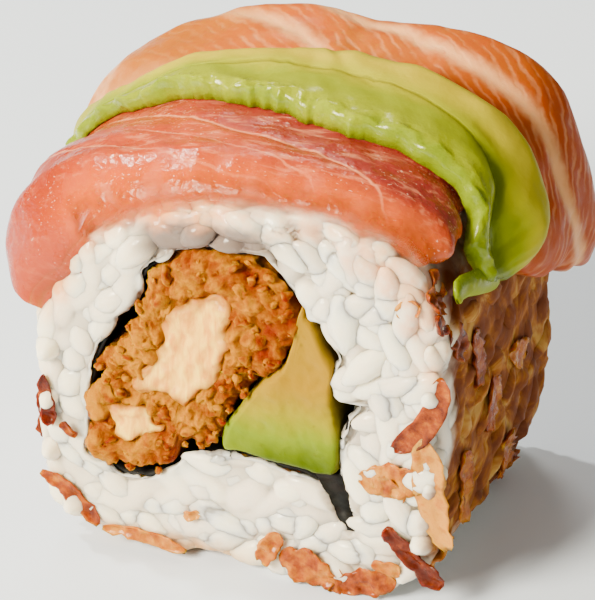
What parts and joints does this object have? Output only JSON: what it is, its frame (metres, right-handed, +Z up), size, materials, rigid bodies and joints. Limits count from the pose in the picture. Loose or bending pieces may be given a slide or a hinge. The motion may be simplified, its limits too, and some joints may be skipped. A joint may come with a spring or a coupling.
{
  "type": "rainbow roll piece",
  "caption": "Cut piece of a rice roll on its side: slices of tuna, avocado and salmon draped over rice, seaweed, crumbed cutlet and avocado.",
  "frame": {"origin": "on the surface the piece rests on, under the middle of the log of rice", "axes": "+Z up, -Y towards the cut face, +X to the right as the cut face is seen"},
  "size_m": [0.0547, 0.0358, 0.0484],
  "materials": {
    "rice": "moist translucent white rice with golden and brown fried onion flakes",
    "nori": "near-black seaweed",
    "crumb": "bright orange-yellow fried crumbs",
    "meat": "pale moist cooked meat",
    "avocado": "yellow-green avocado with a slight sheen",
    "tuna": "wet translucent pink-red fish",
    "salmon": "wet orange fish with pale stripes of fat"
  },
  "bodies": {
    "root": {"rice": "rice", "nori": "nori", "crumb_coating": "crumb", "cutlet_core_large": "meat", "cutlet_core_small": "meat", "avocado_filling": "avocado", "tuna_slice": "tuna", "avocado_slice": "avocado", "salmon_slice": "salmon"}
  },
  "joints": []
}
